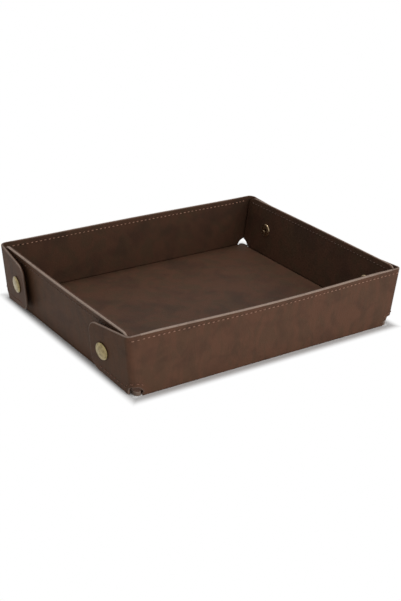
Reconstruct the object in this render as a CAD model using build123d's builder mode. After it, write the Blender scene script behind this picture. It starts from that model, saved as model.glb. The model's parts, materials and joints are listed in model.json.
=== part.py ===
"""Desk tray of leather-covered board: four walls folded up from a base and held by snapped corner tabs.

Millimetres. X runs along the tray, Y across it, and Z is up from the surface that it stands on.
The long walls stand at the front (-Y) and the back (+Y), and the flared end walls at the left and right.
"""

import os
from math import atan, cos, pi, radians, sin, sqrt, tan

from build123d import *

# Tray
base_length = 247.6  # over the outer faces of the end walls, at the floor
base_width = 204.4  # over the outer faces of the long walls
wall_height = 50.0  # floor to top edge
flare_angle = 6.5  # outward lean of the end walls, in degrees

# Leather and board
skin_thickness = 0.8
board_thickness = 1.4
lining_thickness = 0.8
core_thickness = 0.4  # stiffener between the two leathers of a tab
seam_gap = 0.5  # end wall's edge to the long wall beside it
crease_radius = 1.2  # outside of the skin where it turns up from the base
notch_radius = 8.0  # round bite out of the bottom corners of the walls
base_corner_radius = 2.0  # rounded corners of the base
end_corner_radius = 8.0  # top corners of the end walls

# Corner tabs
tab_length = 49.3  # long wall's outer face to the tab's free edge
tab_corner_gap = 0.3  # end wall to the tab, at the line on which the tab swings
tab_top_drop = 4.0  # fall of the top edge along the tab
tab_floor_gap = 0.3  # floor to the bottom edge, carried on to the line on which the tab swings
tab_foot_rise = 7.6  # rise of the bottom edge along the tab
tab_notch_width = 4.0  # that line to the end of the notch, along the tab at the floor
tab_top_radius = 10.0
tab_foot_radius = 10.0
bend_radius = 3.0  # inside of the leather where it turns the corner

# Snap fasteners: places
snap_setback = 33.4  # snap's axis from the long wall's outer face
snap_height = 26.0  # snap's axis above the floor, at the end wall's outer face
snap_play = 0.7  # stud's flange to the middle of the socket's mouth
rivet_play = 0.05  # round each post and barrel

# Snap fasteners: stud and its eyelet, on the end wall
stud_flange_radius = 5.6
stud_flange_thickness = 0.5
stud_neck_radius = 1.95
stud_neck_top = 2.15  # heights on the stud are from the end wall's outer face
stud_head_radius = 2.3
stud_head_height = 2.35
stud_tip_height = 2.7
stud_bore_depth = 1.0
barrel_radius = 1.7
barrel_bore_radius = 1.2
barrel_end_gap = 0.1  # barrel's end to the bottom of the stud's bore
eyelet_radius = 5.75
eyelet_thickness = 0.8
eyelet_edge_radius = 0.35

# Snap fasteners: socket, spring and cap, on the tab
socket_depth = 2.2
socket_mouth_radius = 4.2  # wide enough for the stud to leave as the walls fold
socket_mouth_thickness = 0.25
socket_cavity_radius = 4.6
socket_wall_thickness = 0.5
socket_flange_radius = 5.6
socket_flange_thickness = 0.5
spring_wire_radius = 0.25
spring_play = 0.05  # round the wire
post_radius = 1.6
post_end_rise = 0.05  # post's end above the underside of the socket's flange
cap_radius = 7.0
cap_height = 2.0
cap_rim_height = 0.9
cap_rim_width = 1.2
cap_edge_radius = 0.4

# Places that follow from these sizes
flare = radians(flare_angle)
wall_thickness = skin_thickness + board_thickness + lining_thickness
tab_thickness = skin_thickness + core_thickness + lining_thickness
snap_gap = stud_flange_thickness + snap_play + socket_depth
crease_height = wall_thickness
long_inner_y = base_width / 2 - wall_thickness
crease_x = base_length / 2 + crease_height * tan(flare) - wall_thickness / cos(flare)
hinge_x = base_length / 2 + tab_corner_gap / cos(flare)
hinge_y = base_width / 2 - tab_thickness
snap_y = base_width / 2 - snap_setback
snap_reach = snap_setback - tab_thickness
tab_tilt = atan((snap_gap - tab_corner_gap) / snap_reach)  # the tab leans away from the end wall to clear the snap
bend_turn = pi / 2 - tab_tilt
notch_foot = sqrt(notch_radius**2 - crease_height**2)  # half the notch's width at the height of the creases
bend_run = bend_radius * tan(bend_turn / 2)  # either end of a bend from the line on which the tab swings
snap_rise = (snap_height - crease_height + wall_thickness * sin(flare)) / cos(flare)
snap_rise_on_tab = snap_rise + crease_height * cos(flare) - (hinge_x - crease_x) * sin(flare)

base_layers = {
    "skin": (0, skin_thickness),
    "board": (skin_thickness, board_thickness),
    "lining": (skin_thickness + board_thickness, lining_thickness),
}
wall_layers = {
    "lining": (0, lining_thickness),
    "board": (lining_thickness, board_thickness),
    "skin": (lining_thickness + board_thickness, skin_thickness),
}
tab_layers = {
    "lining": (0, lining_thickness),
    "core": (lining_thickness, core_thickness),
    "skin": (lining_thickness + core_thickness, skin_thickness),
}
long_sides = {"front": -1, "back": 1}
end_sides = {"left": -1, "right": 1}


def outward(side):
    """Outward normal of a flared end wall; side is -1 at the left and 1 at the right."""
    return Vector(side * cos(flare), 0, -sin(flare))


def uphill(side):
    """Direction up the slope of a flared end wall."""
    return Vector(side * sin(flare), 0, cos(flare))


def long_wall_plane(side):
    """Inner face of a long wall, from its crease up; local Y is up and local Z points outwards."""
    return Plane((0, side * long_inner_y, crease_height), x_dir=(-side, 0, 0), z_dir=(0, side, 0))


def end_wall_plane(side):
    """Inner face of an end wall, from its crease up; local Y is uphill and local Z points outwards."""
    return Plane((side * crease_x, 0, crease_height), x_dir=(0, side, 0), z_dir=outward(side))


def hinge_point(end, long):
    """Foot of the line on which a corner tab swings."""
    return Vector(end * hinge_x, long * hinge_y, 0)


def along_tab(end, long):
    """Direction along a corner tab, from its bend to its free edge."""
    return Vector(0, -long, 0) * cos(tab_tilt) + outward(end) * sin(tab_tilt)


def off_tab(end, long):
    """Outward normal of a corner tab."""
    return outward(end) * cos(tab_tilt) + Vector(0, long, 0) * sin(tab_tilt)


def tab_plane(end, long):
    """Inner face of a corner tab; local X runs from the bend to the free edge, local Z points outwards."""
    return Plane(hinge_point(end, long), x_dir=along_tab(end, long), z_dir=off_tab(end, long))


def snap_point(end, long):
    """Where a snap's axis leaves the outer face of the end wall."""
    foot = Vector(end * crease_x, long * snap_y, crease_height)
    return foot + uphill(end) * snap_rise + outward(end) * wall_thickness


def stud_section(end, long):
    """Plane through a stud's axis; local X is the radius and local Y the height on the stud."""
    return Plane(snap_point(end, long), x_dir=(0, 1, 0), z_dir=Vector(0, 1, 0).cross(outward(end)))


def stud_axis(end, long):
    """Axis of a stud, pointing outwards."""
    return Axis(snap_point(end, long), outward(end))


def socket_point(end, long):
    """Foot of a socket's axis, a snap's gap inside the tab, from which heights on the socket count."""
    inner_face = along_tab(end, long) * (snap_reach / cos(tab_tilt)) + uphill(end) * snap_rise_on_tab
    return hinge_point(end, long) + inner_face - off_tab(end, long) * snap_gap


def socket_section(end, long):
    """Plane through a socket's axis; local X is the radius and local Y the height."""
    across = along_tab(end, long)
    return Plane(socket_point(end, long), x_dir=across, z_dir=across.cross(off_tab(end, long)))


def socket_axis(end, long):
    """Axis of a socket and its cap, pointing outwards."""
    return Axis(socket_point(end, long), off_tab(end, long))


def write(piece, label):
    """Label a finished piece and write it under that name."""
    piece.part.label = label
    export_step(piece.part, f"parts/{label}.step")


def base_layer(start, thickness):
    """One flat layer of the base, with rounded corners."""
    with BuildPart() as layer:
        with BuildSketch(Plane.XY.offset(start)):
            RectangleRounded(2 * crease_x, 2 * long_inner_y, base_corner_radius)
        extrude(amount=thickness)
    return layer


def long_wall_layer(side, start, thickness):
    """One flat layer of a long wall, which widens upwards to meet the flared bends."""
    rise = wall_height - crease_height
    foot_half = hinge_x + crease_height * tan(flare) - bend_run / cos(flare)
    top_half = foot_half + rise * tan(flare)
    with BuildPart() as layer:
        with BuildSketch(long_wall_plane(side).offset(start)):
            with BuildLine():
                Polyline((-foot_half, 0), (foot_half, 0), (top_half, rise), (-top_half, rise), close=True)
            make_face()
            with Locations((-hinge_x, -crease_height), (hinge_x, -crease_height)):
                Circle(notch_radius, mode=Mode.SUBTRACT)
        extrude(amount=thickness)
    return layer


def end_wall_layer(side, start, thickness):
    """One flat layer of an end wall, with rounded top corners and two snap holes."""
    half_width = long_inner_y - seam_gap
    slope = (wall_height - crease_height) / cos(flare)
    with BuildPart() as layer:
        with BuildSketch(end_wall_plane(side).offset(start)) as outline:
            with BuildLine():
                Polyline((-half_width, 0), (half_width, 0), (half_width, slope), (-half_width, slope), close=True)
            make_face()
            fillet(outline.vertices().group_by(Axis.Y)[-1], end_corner_radius)
            with Locations((-long_inner_y, -crease_height), (long_inner_y, -crease_height)):
                Circle(notch_radius, mode=Mode.SUBTRACT)
            with Locations((-snap_y, snap_rise), (snap_y, snap_rise)):
                Circle(barrel_radius + rivet_play, mode=Mode.SUBTRACT)
        extrude(amount=thickness)
    return layer


def tab_layer(end, long, start, thickness):
    """One layer of a corner tab, whose foot rises so that the tab clears the table when it is swung open."""
    up = -end * long
    reach = tab_length - tab_thickness
    top = (wall_height - bend_run * sin(flare)) / cos(flare)
    foot = tab_floor_gap / cos(flare)
    with BuildPart() as layer:
        with BuildSketch(tab_plane(end, long).offset(start)) as outline:
            with BuildLine():
                Polyline(
                    (bend_run, up * (foot + tab_foot_rise * bend_run / reach)),
                    (reach, up * (foot + tab_foot_rise)),
                    (reach, up * (top - tab_top_drop)),
                    (bend_run, up * top),
                    close=True,
                )
            make_face()
            fillet(outline.vertices().group_by(Axis.X)[-1].sort_by(Axis.Y)[::up][0], tab_foot_radius)
            fillet(outline.vertices().group_by(Axis.X)[-1].sort_by(Axis.Y)[::up][-1], tab_top_radius)
            Ellipse(tab_notch_width, notch_radius, mode=Mode.SUBTRACT)
            with Locations((snap_reach / cos(tab_tilt), up * snap_rise_on_tab)):
                Circle(post_radius + rivet_play, mode=Mode.SUBTRACT)
        extrude(amount=thickness)
    return layer


def crease(plane, half_length, turn):
    """Skin that turns up under a wall; plane is square to the crease, with local Y up at the wall's side."""
    with BuildPart() as strip:
        with BuildSketch(plane.offset(-half_length)):
            with BuildLine():
                ends = []
                for depth, radius in ((0, crease_radius), (skin_thickness, crease_radius - skin_thickness)):
                    reach = wall_thickness - depth
                    under = (0, -reach)
                    corner = (reach * tan(turn / 2), -reach)
                    beside = (reach * sin(turn), -reach * cos(turn))
                    FilletPolyline(under, corner, beside, radius=radius)
                    ends.append((under, beside))
                Line(ends[0][0], ends[1][0])
                Line(ends[0][1], ends[1][1])
            make_face()
        extrude(amount=2 * half_length)
    return strip


def corner_bend(end, long):
    """Leather that turns the corner between a long wall and its tab."""
    across = end * long
    top = (wall_height - bend_run * sin(flare)) / cos(flare)
    section = Plane(hinge_point(end, long), x_dir=(0, -long, 0), z_dir=uphill(end))

    def spot(radius, angle):
        """Point of the section at a radius and angle about the middle of the bend."""
        return (bend_radius + radius * cos(angle), across * (radius * sin(angle) - bend_run))

    tab_end, wall_end = pi - bend_turn, pi
    middle = (tab_end + wall_end) / 2
    outer_radius = bend_radius + tab_thickness
    with BuildPart() as strip:
        with BuildSketch(section.offset(notch_radius)):
            with BuildLine():
                ThreePointArc(spot(outer_radius, tab_end), spot(outer_radius, middle), spot(outer_radius, wall_end))
                Line(spot(outer_radius, wall_end), spot(bend_radius, wall_end))
                ThreePointArc(spot(bend_radius, wall_end), spot(bend_radius, middle), spot(bend_radius, tab_end))
                Line(spot(bend_radius, tab_end), spot(outer_radius, tab_end))
            make_face()
        extrude(amount=top - notch_radius)
    return strip


def snap_stud(end, long):
    """Stud with a flange, neck and domed head, bored from below for the eyelet's barrel."""
    bore_radius = barrel_radius + rivet_play
    dome_rise = stud_tip_height - stud_head_height
    dome_radius = (stud_head_radius**2 + dome_rise**2) / (2 * dome_rise)
    dome_mid_radius = stud_head_radius / 2
    dome_mid_height = stud_tip_height - dome_radius + sqrt(dome_radius**2 - dome_mid_radius**2)
    with BuildPart() as stud:
        with BuildSketch(stud_section(end, long)):
            with BuildLine():
                Polyline(
                    (0, stud_tip_height),
                    (0, stud_bore_depth),
                    (bore_radius, stud_bore_depth),
                    (bore_radius, 0),
                    (stud_flange_radius, 0),
                    (stud_flange_radius, stud_flange_thickness),
                    (stud_neck_radius, stud_flange_thickness),
                    (stud_neck_radius, stud_neck_top),
                    (stud_head_radius, stud_head_height),
                )
                ThreePointArc(
                    (stud_head_radius, stud_head_height),
                    (dome_mid_radius, dome_mid_height),
                    (0, stud_tip_height),
                )
            make_face()
        revolve(axis=stud_axis(end, long))
    return stud


def snap_eyelet(end, long):
    """Eyelet with a rounded flange inside the end wall and a barrel through it into the stud."""
    seat = -wall_thickness
    with BuildPart() as eyelet:
        with BuildSketch(stud_section(end, long)):
            with BuildLine():
                Polyline(
                    (barrel_bore_radius, seat - eyelet_thickness),
                    (eyelet_radius, seat - eyelet_thickness),
                    (eyelet_radius, seat),
                    (barrel_radius, seat),
                    (barrel_radius, stud_bore_depth - barrel_end_gap),
                    (barrel_bore_radius, stud_bore_depth - barrel_end_gap),
                    close=True,
                )
            make_face()
        revolve(axis=stud_axis(end, long))
        rims = eyelet.edges().filter_by(GeomType.CIRCLE).sort_by(stud_axis(end, long))[:2]
        fillet(rims, eyelet_edge_radius)
    return eyelet


def snap_socket(end, long):
    """Round socket with a narrow mouth, a cavity for the spring and a flange against the tab."""
    mouth = snap_gap - socket_depth
    flange = snap_gap - socket_flange_thickness
    shell_radius = socket_cavity_radius + socket_wall_thickness
    post_hole_radius = post_radius + rivet_play
    with BuildPart() as socket:
        with BuildSketch(socket_section(end, long)):
            with BuildLine():
                Polyline(
                    (socket_mouth_radius, mouth),
                    (shell_radius, mouth),
                    (shell_radius, flange),
                    (socket_flange_radius, flange),
                    (socket_flange_radius, snap_gap),
                    (post_hole_radius, snap_gap),
                    (post_hole_radius, flange),
                    (socket_cavity_radius, flange),
                    (socket_cavity_radius, mouth + socket_mouth_thickness),
                    (socket_mouth_radius, mouth + socket_mouth_thickness),
                    close=True,
                )
            make_face()
        revolve(axis=socket_axis(end, long))
    return socket


def snap_spring(end, long):
    """Hairpin of wire in the socket, with a leg on each side of the stud's neck."""
    wire_room = spring_wire_radius + spring_play
    leg_offset = stud_neck_radius + wire_room
    turn_centre = socket_cavity_radius - wire_room - leg_offset
    leg_end = sqrt((socket_cavity_radius - spring_play) ** 2 - (leg_offset + spring_wire_radius) ** 2)
    level = snap_gap - socket_depth + socket_mouth_thickness + wire_room
    foot = socket_point(end, long) + off_tab(end, long) * level
    plane = Plane(foot, x_dir=along_tab(end, long), z_dir=off_tab(end, long))
    with BuildPart() as spring:
        with BuildLine(plane) as hairpin:
            Line((-leg_end, leg_offset), (turn_centre, leg_offset))
            ThreePointArc(
                (turn_centre, leg_offset), (turn_centre + leg_offset, 0), (turn_centre, -leg_offset)
            )
            Line((turn_centre, -leg_offset), (-leg_end, -leg_offset))
        with BuildSketch(Plane(hairpin.line @ 0, z_dir=hairpin.line % 0)):
            Circle(spring_wire_radius)
        sweep()
    return spring


def snap_cap(end, long):
    """Flat-domed cap with a rounded rim, and the post that rivets it through the tab to the socket."""
    seat = snap_gap + tab_thickness
    post_end = snap_gap - socket_flange_thickness + post_end_rise
    field_radius = cap_radius - cap_rim_width
    with BuildPart() as cap:
        with BuildSketch(socket_section(end, long)):
            with BuildLine():
                Polyline(
                    (0, seat + cap_height),
                    (0, post_end),
                    (post_radius, post_end),
                    (post_radius, seat),
                    (cap_radius, seat),
                    (cap_radius, seat + cap_rim_height),
                    (field_radius, seat + cap_height),
                    close=True,
                )
            make_face()
        revolve(axis=socket_axis(end, long))
        rims = cap.edges().filter_by(GeomType.CIRCLE).sort_by(socket_axis(end, long))[-2:]
        fillet(rims, cap_edge_radius)
    return cap


os.makedirs("parts", exist_ok=True)

# Base
for layer_name, (layer_start, layer_thickness) in base_layers.items():
    write(base_layer(layer_start, layer_thickness), f"base_{layer_name}")

# Long walls and the creases under them
for side_name, side in long_sides.items():
    for layer_name, (layer_start, layer_thickness) in wall_layers.items():
        write(long_wall_layer(side, layer_start, layer_thickness), f"{side_name}_wall_{layer_name}")
    crease_line = Vector(0, side * long_inner_y, crease_height)
    crease_section = Plane(crease_line, x_dir=(0, side, 0), z_dir=(side, 0, 0))
    write(crease(crease_section, hinge_x - notch_foot, pi / 2), f"{side_name}_crease")

# End walls and the creases under them
for side_name, side in end_sides.items():
    for layer_name, (layer_start, layer_thickness) in wall_layers.items():
        write(end_wall_layer(side, layer_start, layer_thickness), f"{side_name}_wall_{layer_name}")
    crease_line = Vector(side * crease_x, 0, crease_height)
    crease_section = Plane(crease_line, x_dir=(side, 0, 0), z_dir=(0, -side, 0))
    write(crease(crease_section, long_inner_y - notch_foot, pi / 2 - flare), f"{side_name}_crease")

# Corner tabs, their bends and their snaps
for long_name, long_side in long_sides.items():
    for end_name, end_side in end_sides.items():
        corner = f"{long_name}_{end_name}"
        for layer_name, (layer_start, layer_thickness) in tab_layers.items():
            write(tab_layer(end_side, long_side, layer_start, layer_thickness), f"{corner}_tab_{layer_name}")
        write(corner_bend(end_side, long_side), f"{corner}_bend")
        write(snap_cap(end_side, long_side), f"{corner}_snap_cap")
        write(snap_socket(end_side, long_side), f"{corner}_snap_socket")
        write(snap_spring(end_side, long_side), f"{corner}_snap_spring")
        write(snap_stud(end_side, long_side), f"{corner}_snap_stud")
        write(snap_eyelet(end_side, long_side), f"{corner}_snap_eyelet")
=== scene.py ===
"""Looks of the leather desk tray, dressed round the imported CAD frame.

Every leather piece is cut, thickened and edged flat on the bench, with its outer face up at height zero.
It is then laid into the tray: a wall is set upright with a slight bow, a crease is rolled under a wall,
and a corner tab is wrapped round its corner. All sizes are in metres.
"""

import json
import logging
from contextlib import contextmanager
from dataclasses import dataclass, field
from enum import Enum, IntEnum
from math import acos, asin, atan2, cos, hypot, inf, pi, radians, sin, sqrt, tan
from typing import Any, Callable, Generic, Iterator, Protocol, Sequence, TypeVar

import bmesh
import bpy
from mathutils import Matrix, Vector

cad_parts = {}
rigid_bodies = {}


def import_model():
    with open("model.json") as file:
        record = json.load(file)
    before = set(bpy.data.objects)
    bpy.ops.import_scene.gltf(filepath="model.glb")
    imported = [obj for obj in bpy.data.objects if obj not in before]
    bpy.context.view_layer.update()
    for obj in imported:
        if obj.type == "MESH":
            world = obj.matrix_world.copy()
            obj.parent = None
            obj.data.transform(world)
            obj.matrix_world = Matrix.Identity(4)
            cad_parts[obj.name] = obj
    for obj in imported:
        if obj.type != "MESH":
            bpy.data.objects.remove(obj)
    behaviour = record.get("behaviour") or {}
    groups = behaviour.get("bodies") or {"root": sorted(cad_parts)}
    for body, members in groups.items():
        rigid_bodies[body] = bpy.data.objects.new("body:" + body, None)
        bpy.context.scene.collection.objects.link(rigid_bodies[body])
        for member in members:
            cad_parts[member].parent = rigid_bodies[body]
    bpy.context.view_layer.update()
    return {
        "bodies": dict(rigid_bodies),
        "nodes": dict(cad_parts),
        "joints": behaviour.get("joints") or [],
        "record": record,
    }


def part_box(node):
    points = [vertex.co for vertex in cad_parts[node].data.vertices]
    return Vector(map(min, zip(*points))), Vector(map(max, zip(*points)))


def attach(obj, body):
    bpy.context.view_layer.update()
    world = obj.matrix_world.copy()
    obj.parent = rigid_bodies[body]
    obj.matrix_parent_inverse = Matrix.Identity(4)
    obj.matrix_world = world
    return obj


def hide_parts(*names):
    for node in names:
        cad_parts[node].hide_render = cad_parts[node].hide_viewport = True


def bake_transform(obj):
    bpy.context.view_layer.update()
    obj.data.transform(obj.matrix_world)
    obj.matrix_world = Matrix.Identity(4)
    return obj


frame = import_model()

MM = 0.001
# Points closer than this count as one place.
TOUCH = 0.01 * MM
# A face whose normal has this share along an axis faces that way.
FACING_SHARE = 0.99
# Edges sharper than this, in degrees, stay sharp.
SMOOTH_ANGLE = 38.0
# Facets of a rounded rim.
RIM_FACETS = 3
LOG = logging.getLogger("desk_tray")

Colour = tuple[float, float, float, float]
Piece = bpy.types.Object
Point = tuple[float, float]

WHITE: Colour = (1.0, 1.0, 1.0, 1.0)
UP = Vector((0.0, 0.0, 1.0))


class Long(Enum):
    """The long walls, each with the sign of its side along Y."""

    FRONT = -1
    BACK = 1


class End(Enum):
    """The end walls, each with the sign of its side along X."""

    LEFT = -1
    RIGHT = 1


WallSide = TypeVar("WallSide", Long, End)


class Slot(Enum):
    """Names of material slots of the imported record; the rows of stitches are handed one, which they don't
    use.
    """

    OUTER = "outer_leather"
    LINING = "lining_leather"
    BRASS = "brass"


class Side(IntEnum):
    """The sides of a flat piece, each with the number of its finish."""

    OUTER = 0
    EDGE = 1
    INNER = 2


def named(*words: Enum | str) -> str:
    """Join words and sides into the name of a body, node or piece."""
    return "_".join(word.name.lower() if isinstance(word, Enum) else word for word in words)


def srgb(red: float, green: float, blue: float) -> Colour:
    """Turn a colour as it is seen on a screen into the linear colour that a shader takes.

    Args:
        red: Red, 0 to 255.
        green: Green, 0 to 255.
        blue: Blue, 0 to 255.

    Returns:
        The linear colour, with full cover.
    """
    shares = [channel / 255 for channel in (red, green, blue)]
    linear = [share / 12.92 if share <= 0.04045 else ((share + 0.055) / 1.055) ** 2.4 for share in shares]
    return (*linear, 1.0)


def ease(share: float) -> float:
    """Ease a share from 0 to 1 in and out, held at both ends."""
    held = min(max(share, 0.0), 1.0)
    return held * held * (3 - 2 * held)


class Tap:
    """An output socket whose sums are written as Python expressions."""

    def __init__(self, graph: "Graph", socket: bpy.types.NodeSocket) -> None:
        """Keep the socket and the graph that it belongs to."""
        self.graph = graph
        self.socket = socket

    def __add__(self, other: "Tap | float") -> "Tap":
        """Add a value."""
        return self.graph.sum("ADD", self, other)

    def __radd__(self, other: float) -> "Tap":
        """Be added to a value."""
        return self.graph.sum("ADD", other, self)

    def __sub__(self, other: "Tap | float") -> "Tap":
        """Take a value away."""
        return self.graph.sum("SUBTRACT", self, other)

    def __rsub__(self, other: float) -> "Tap":
        """Be taken away from a value."""
        return self.graph.sum("SUBTRACT", other, self)

    def __mul__(self, other: "Tap | float") -> "Tap":
        """Multiply by a value."""
        return self.graph.sum("MULTIPLY", self, other)

    def __rmul__(self, other: float) -> "Tap":
        """Multiply a value."""
        return self.graph.sum("MULTIPLY", other, self)

    def __abs__(self) -> "Tap":
        """Drop the sign."""
        return self.graph.sum("ABSOLUTE", self)

    def between(self, low: float, high: float) -> "Tap":
        """Rise smoothly from 0 at the low value to 1 at the high one."""
        sockets = {"Value": self, "From Min": low, "From Max": high}
        return self.graph.add("ShaderNodeMapRange", {"interpolation_type": "SMOOTHSTEP"}, sockets)


@dataclass(frozen=True)
class Pattern:
    """Soft noise of so many features to the metre, which shows by a share where it rises from low to high."""

    scale: float
    detail: float = 2.0
    warp: float = 0.0
    stretch: tuple[float, float, float] = (1.0, 1.0, 1.0)
    low: float = 0.0
    high: float = 1.0
    share: float = 1.0
    octave_share: float = 0.55

    def shown(self, noise: Tap) -> Tap:
        """Give the share by which the pattern shows, from its noise."""
        return noise.between(self.low, self.high) * self.share


class Graph:
    """The node tree of one finish."""

    def __init__(self, tree: bpy.types.NodeTree) -> None:
        """Start with an empty tree."""
        self.tree = tree
        self.tree.nodes.clear()

    def add(
        self,
        kind: str,
        settings: dict[str, Any] | None = None,
        sockets: dict[str | int, Any] | None = None,
        out: str | int | None = 0,
    ) -> Tap | None:
        """Add a node.

        Args:
            kind: The node's type.
            settings: Its settings, set first.
            sockets: A value or a tap for each input, by identifier, name or number.
            out: The output to hand back, or None for a node that ends the tree.

        Returns:
            A tap on the chosen output.
        """
        node = self.tree.nodes.new(kind)
        for key, value in (settings or {}).items():
            setattr(node, key, value)
        for key, value in (sockets or {}).items():
            socket = self._find(node.inputs, key)
            if isinstance(value, Tap):
                self.tree.links.new(value.socket, socket)
            else:
                socket.default_value = value
        return None if out is None else Tap(self, self._find(node.outputs, out))

    def sum(self, operation: str, *values: Tap | float) -> Tap:
        """Add a Math node that works on these values."""
        return self.add("ShaderNodeMath", {"operation": operation}, dict(enumerate(values)))

    def mix(self, share: Tap | float, first: Tap | Colour, second: Tap | Colour) -> Tap:
        """Mix two colours, the second by the share."""
        sockets = {"Factor_Float": share, "A_Color": first, "B_Color": second}
        return self.add("ShaderNodeMix", {"data_type": "RGBA"}, sockets, "Result_Color")

    def spot(self, stretch: Sequence[float] = (1.0, 1.0, 1.0)) -> Tap:
        """Give the place on the piece, stretched along its axes: a small factor draws a pattern out."""
        place = self.add("ShaderNodeTexCoord", out="Object")
        return self.add("ShaderNodeMapping", {}, {"Vector": place, "Scale": stretch})

    def part(self, place: Tap, axis: str) -> Tap:
        """Give one coordinate of a place."""
        return self.add("ShaderNodeSeparateXYZ", {}, {"Vector": place}, axis)

    def noise(self, pattern: Pattern) -> Tap:
        """Give the noise of a pattern, which lies round one half.

        Args:
            pattern: The pattern.

        Returns:
            The noise at each place on the piece.
        """
        sockets = {
            "Vector": self.spot(pattern.stretch),
            "Scale": pattern.scale,
            "Detail": pattern.detail,
            "Roughness": pattern.octave_share,
            "Distortion": pattern.warp,
        }
        return self.add("ShaderNodeTexNoise", {}, sockets)

    def background(self) -> Tap:
        """Pick out the rays that show a background: camera, glossy and transmission rays.

        Returns:
            1 for those rays and 0 for the others.
        """
        kinds = ("Camera", "Glossy", "Transmission")
        camera, glossy, through = (self.add("ShaderNodeLightPath", out=f"Is {kind} Ray") for kind in kinds)
        return self.sum("MAXIMUM", self.sum("MAXIMUM", camera, glossy), through)

    @staticmethod
    def _find(sockets: Any, key: str | int) -> bpy.types.NodeSocket:
        """Find a socket of a node.

        Args:
            sockets: The inputs or the outputs of the node.
            key: The socket's number, identifier or name.

        Returns:
            The socket.
        """
        if isinstance(key, int):
            return sockets[key]
        return next((socket for socket in sockets if socket.identifier == key), None) or sockets[key]


@dataclass(frozen=True, kw_only=True)
class Finish:
    """A finish that can be made into a material once and used on many pieces."""

    name: str
    rough: float = 0.55
    rough_spread: float = 0.2
    gloss: float = 0.35
    metallic: float = 0.0
    relief: float = 0.1 * MM
    relief_share: float = 1.0

    def material(self) -> bpy.types.Material:
        """Make the material, or hand back the one that was made before.

        Returns:
            The material.
        """
        made = bpy.data.materials.get(self.name)
        if made is None:
            made = bpy.data.materials.new(self.name)
            made.use_nodes = True
            self.draw(Graph(made.node_tree))
        return made

    def draw(self, graph: Graph) -> None:
        """Draw the finish as nodes in an empty tree."""
        raise NotImplementedError

    def close(self, graph: Graph, colour: Tap, wear: Tap, height: Tap) -> None:
        """Close the tree with a surface.

        Args:
            graph: The tree.
            colour: The colour of the surface.
            wear: How much rougher each place is, 0 to 1.
            height: Its relief, 0 to 1.
        """
        bump = {"Height": height, "Distance": self.relief, "Strength": self.relief_share}
        surface = graph.add("ShaderNodeBsdfPrincipled", {}, {
            "Base Color": colour,
            "Metallic": self.metallic,
            "Roughness": self.rough + self.rough_spread * wear,
            "Specular IOR Level": self.gloss,
            "Normal": graph.add("ShaderNodeBump", {}, bump),
        })
        graph.add("ShaderNodeOutputMaterial", {}, {"Surface": surface}, None)


@dataclass(frozen=True, kw_only=True)
class MottledLeather(Finish):
    """Matt leather with soft patches of a second tone, darker clouds and a fine pebbled grain. The end walls
    take a slightly darker, less red copy of the tone and patch: partly a real difference in tone, partly
    painted shade of the end walls.
    """

    tone: Colour
    patch: Colour
    cloud: Colour
    shaded_end_tone: Colour
    shaded_end_patch: Colour
    patches: Pattern
    clouds: Pattern
    flecks: Pattern = Pattern(960.0, low=0.55, high=0.9, share=0.35)
    nap: Pattern = Pattern(3200.0, detail=3.0)
    nap_share: float = 0.5
    pebble_scale: float = 850.0
    pebble_share: float = 0.6
    wall_face: float = 100.5 * MM
    end_face: float = 96.5 * MM
    rough: float = 0.56
    gloss: float = 0.15
    relief: float = 0.12 * MM

    def draw(self, graph: Graph) -> None:
        """Draw the patches, clouds and grain, with the end walls in a darker copy of the tone as partly
        painted shade.

        Args:
            graph: The empty tree of the material.
        """
        place = graph.spot()
        # The end walls get a darker copy of the tone and patch: painted shade on top of a real difference in
        # tone.
        unshaded_wall_share = abs(graph.part(place, "Y")).between(self.end_face, self.wall_face)
        tone = graph.mix(unshaded_wall_share, self.shaded_end_tone, self.tone)
        patch = graph.mix(unshaded_wall_share, self.shaded_end_patch, self.patch)
        patched = graph.mix(self.patches.shown(graph.noise(self.patches)), tone, patch)
        clouded = graph.mix(self.clouds.shown(graph.noise(self.clouds)), patched, self.cloud)
        flecks = graph.noise(self.flecks)
        colour = graph.mix(self.flecks.shown(flecks), clouded, self.cloud)
        cells = {"Vector": place, "Scale": self.pebble_scale}
        pebbles = graph.add("ShaderNodeTexVoronoi", {"feature": "SMOOTH_F1"}, cells)
        height = pebbles * self.pebble_share + graph.noise(self.nap) * self.nap_share
        self.close(graph, colour, flecks, height)


@dataclass(frozen=True, kw_only=True)
class EdgePaint(Finish):
    """Taupe edge paint with fine streaks along the edge and a few rubbed places."""

    paint: Colour
    rubbed: Colour
    streaks: Pattern = Pattern(900.0, stretch=(0.06, 0.06, 1.0), low=0.5, high=0.75, share=0.3)
    wear: Pattern = Pattern(160.0, detail=3.0, warp=0.5, low=0.5, high=0.75, share=0.45)
    streak_height_share: float = 0.6
    wear_height_share: float = 0.4
    rough: float = 0.5

    def draw(self, graph: Graph) -> None:
        """Draw the streaks and the rubbed places.

        Args:
            graph: The empty tree of the material.
        """
        streaks = graph.noise(self.streaks)
        wear = graph.noise(self.wear)
        share = self.wear.shown(wear) + self.streaks.shown(streaks)
        height = streaks * self.streak_height_share + wear * self.wear_height_share
        self.close(graph, graph.mix(share, self.paint, self.rubbed), wear, height)


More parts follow.
